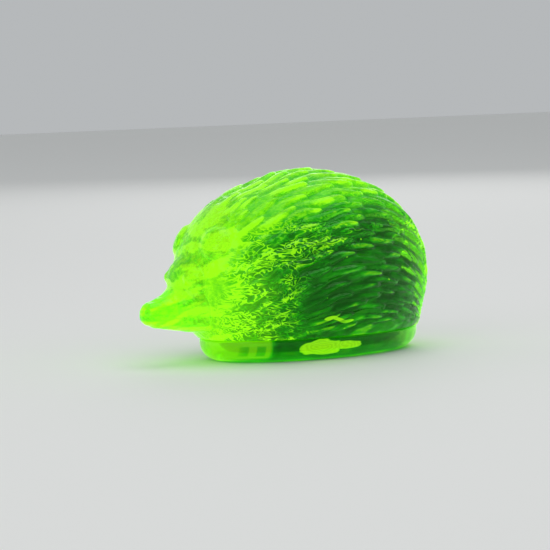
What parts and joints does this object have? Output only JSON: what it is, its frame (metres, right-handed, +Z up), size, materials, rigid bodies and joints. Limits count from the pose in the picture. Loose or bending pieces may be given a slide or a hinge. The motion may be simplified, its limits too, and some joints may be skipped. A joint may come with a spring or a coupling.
{
  "type": "covered glass dish",
  "caption": "Covered dish of glowing green glass: a low oval dish under a hollow hedgehog-shaped lid with a spined back, ears and pointed snout.",
  "frame": {"origin": "centre of the dish's flat foot, where it stands on the table", "axes": "+Z up, X along the animal from the nose at -X to the rump at +X, Y across it; the object is symmetric about the XZ plane"},
  "size_m": [0.1137, 0.0646, 0.0647],
  "materials": {
    "dish_glass": "smooth pressed uranium glass, glowing green under ultraviolet light",
    "lid_glass": "pressed uranium glass with a spined surface, glowing green under ultraviolet light"
  },
  "bodies": {
    "dish": {"dish": "dish_glass"},
    "lid": {"hedgehog_lid": "lid_glass"}
  },
  "joints": [
    {"name": "lid_lift", "type": "slide", "parent": "dish", "child": "lid", "axis": [0, 0, 1], "range_m": [0, 0.08]}
  ]
}
